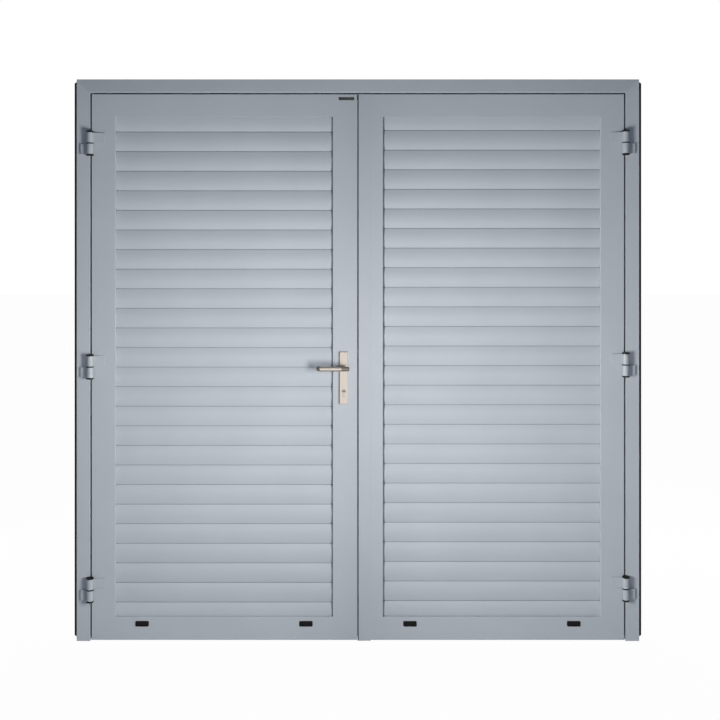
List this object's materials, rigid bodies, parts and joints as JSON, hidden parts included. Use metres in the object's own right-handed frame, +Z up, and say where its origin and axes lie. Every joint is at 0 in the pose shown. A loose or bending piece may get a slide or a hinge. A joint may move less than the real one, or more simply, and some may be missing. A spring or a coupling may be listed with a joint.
{
  "type": "double utility door",
  "caption": "Double utility door with two outward opening aluminium leaves, crowned slat infill, a three sided frame and a lever handle set.",
  "frame": {"origin": "middle of the head's top face, which the lintel of the wall holds; the floor is 2.2 m below", "axes": "+X to the right as seen from outside, +Y into the building, +Z up"},
  "size_m": [2.24, 0.1796, 2.2],
  "materials": {
    "frame_paint": "satin powder coat, light blue grey",
    "slat_paint": "satin roll coat, light blue grey",
    "seal_rubber": "matt black rubber",
    "black_plastic": "fine grained black plastic",
    "handle_steel": "satin brushed",
    "lock_steel": "satin"
  },
  "bodies": {
    "frame": {"head": "frame_paint", "left_hinge_frame_halves": "frame_paint", "left_hinge_pins": "black_plastic", "left_jamb": "frame_paint", "left_wall_seal": "seal_rubber", "right_hinge_frame_halves": "frame_paint", "right_hinge_pins": "black_plastic", "right_jamb": "frame_paint", "right_wall_seal": "seal_rubber", "stop_seal": "seal_rubber"},
    "left_leaf": {"inner_handle_plate": "handle_steel", "left_beads": "frame_paint", "left_bottom_rail": "frame_paint", "left_drain_caps": "black_plastic", "left_hinge_leaf_halves": "frame_paint", "left_hinge_stile": "frame_paint", "left_lock_stile": "frame_paint", "left_slats": "slat_paint", "left_top_rail": "frame_paint", "lock_cylinder": "lock_steel", "mortice_lock": "lock_steel", "outer_handle_plate": "handle_steel"},
    "right_leaf": {"flush_bolts": "lock_steel", "meeting_seal": "seal_rubber", "right_beads": "frame_paint", "right_bottom_rail": "frame_paint", "right_drain_caps": "black_plastic", "right_false_mullion": "frame_paint", "right_hinge_leaf_halves": "frame_paint", "right_hinge_stile": "frame_paint", "right_meeting_stile": "frame_paint", "right_slats": "slat_paint", "right_top_rail": "frame_paint", "strike_plate": "lock_steel"},
    "handle": {"outer_lever": "handle_steel", "inner_lever": "handle_steel", "spindle": "handle_steel"}
  },
  "joints": [
    {"name": "left_leaf_swing", "type": "hinge", "parent": "frame", "child": "left_leaf", "pos_m": [-1.046, -0.0515, -1.129], "axis": [0, 0, -1], "range_deg": [0, 170]},
    {"name": "right_leaf_swing", "type": "hinge", "parent": "frame", "child": "right_leaf", "pos_m": [1.046, -0.0515, -1.129], "axis": [0, 0, 1], "range_deg": [0, 170]},
    {"name": "lever_turn", "type": "hinge", "parent": "left_leaf", "child": "handle", "pos_m": [-0.0555, -0.0145, -1.128], "axis": [0, -1, 0], "range_deg": [0, 45], "stiffness_Nm_per_rad": 1.5, "springref_deg": -34.38}
  ]
}
